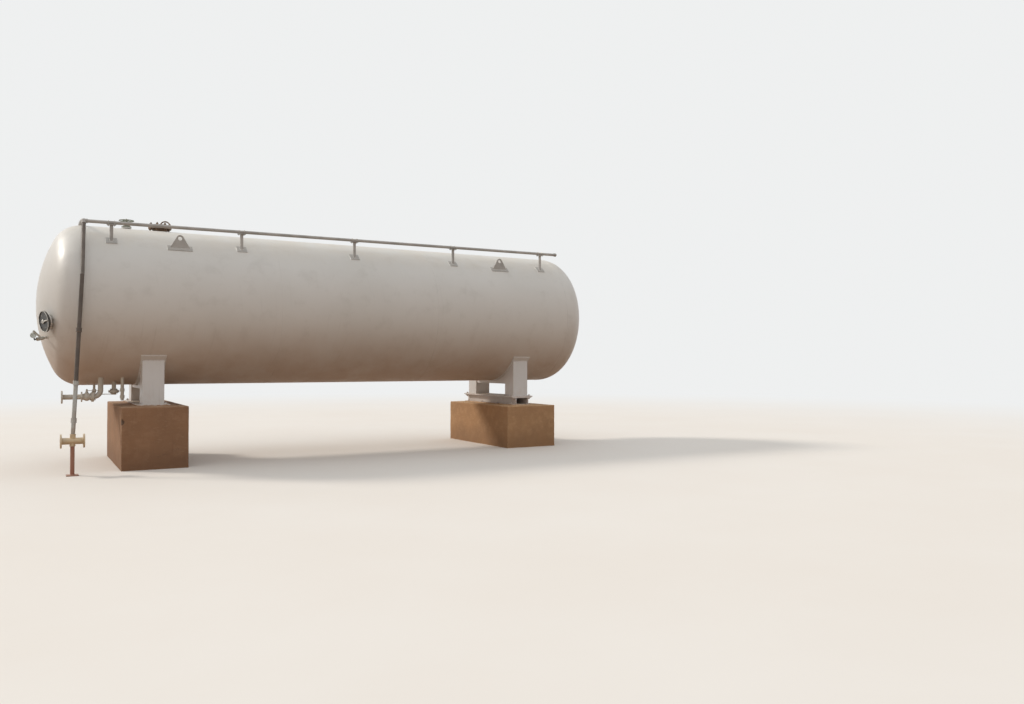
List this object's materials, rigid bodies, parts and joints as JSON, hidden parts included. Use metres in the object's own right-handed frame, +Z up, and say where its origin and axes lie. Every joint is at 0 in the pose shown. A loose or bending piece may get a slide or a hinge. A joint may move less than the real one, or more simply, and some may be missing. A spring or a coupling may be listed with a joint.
{
  "type": "horizontal pressure tank",
  "caption": "Long white horizontal pressure tank with rounded ends, standing on box legs and plastered pedestals, with spray pipes, lifting lugs, gauges and bottom outlets.",
  "frame": {"origin": "middle of the left pedestal's underside, on the ground, under the vessel's axis", "axes": "+X along the vessel from the gauge end to the plain end, +Y to the back, +Z up"},
  "size_m": [9.3704, 2.5948, 3.78],
  "materials": {
    "vessel_paint": "semi-gloss off-white paint with a film of dust",
    "support_paint": "semi-gloss white paint",
    "cement_plaster": "unpainted cement plaster over masonry, matt and dusty",
    "galvanised_pipe": "dull galvanised steel",
    "dark_pipe": "weathered dark paint",
    "cream_pipe": "cream paint",
    "red_pipe": "faded red-brown paint",
    "rusty_fitting": "brown rust bloom on steel",
    "valve_paint": "grey-green paint",
    "gauge_black": "black enamel",
    "valve_steel": "light grey paint, worn"
  },
  "bodies": {
    "root": {"left_shell_course": "vessel_paint", "middle_shell_course": "vessel_paint", "right_shell_course": "vessel_paint", "left_head": "vessel_paint", "right_head": "vessel_paint", "left_wear_plate": "support_paint", "right_wear_plate": "support_paint", "left_cradle": "support_paint", "right_cradle": "support_paint", "left_front_leg": "support_paint", "left_back_leg": "support_paint", "right_front_leg": "support_paint", "right_back_leg": "support_paint", "left_base_plate": "support_paint", "right_base_plate": "support_paint", "slide_beam": "support_paint", "left_pedestal": "cement_plaster", "right_pedestal": "cement_plaster", "front_header": "galvanised_pipe", "back_header": "galvanised_pipe", "crossover_pipe": "galvanised_pipe", "front_posts": "galvanised_pipe", "back_posts": "galvanised_pipe", "upper_riser": "dark_pipe", "lower_riser": "galvanised_pipe", "main_tee": "cream_pipe", "riser_foot": "red_pipe", "front_lugs": "vessel_paint", "back_lugs": "vessel_paint", "top_nozzle": "rusty_fitting", "top_cover": "rusty_fitting", "vapour_nozzle": "vessel_paint", "vapour_valve": "valve_paint", "level_gauge_nozzle": "vessel_paint", "level_gauge": "gauge_black", "gauge_valve": "valve_steel", "pressure_gauge": "gauge_black", "liquid_outlet": "vessel_paint", "outlet_valve": "valve_steel", "drain_cock": "valve_steel", "return_nozzle": "vessel_paint", "purge_nozzle": "vessel_paint"}
  },
  "joints": []
}
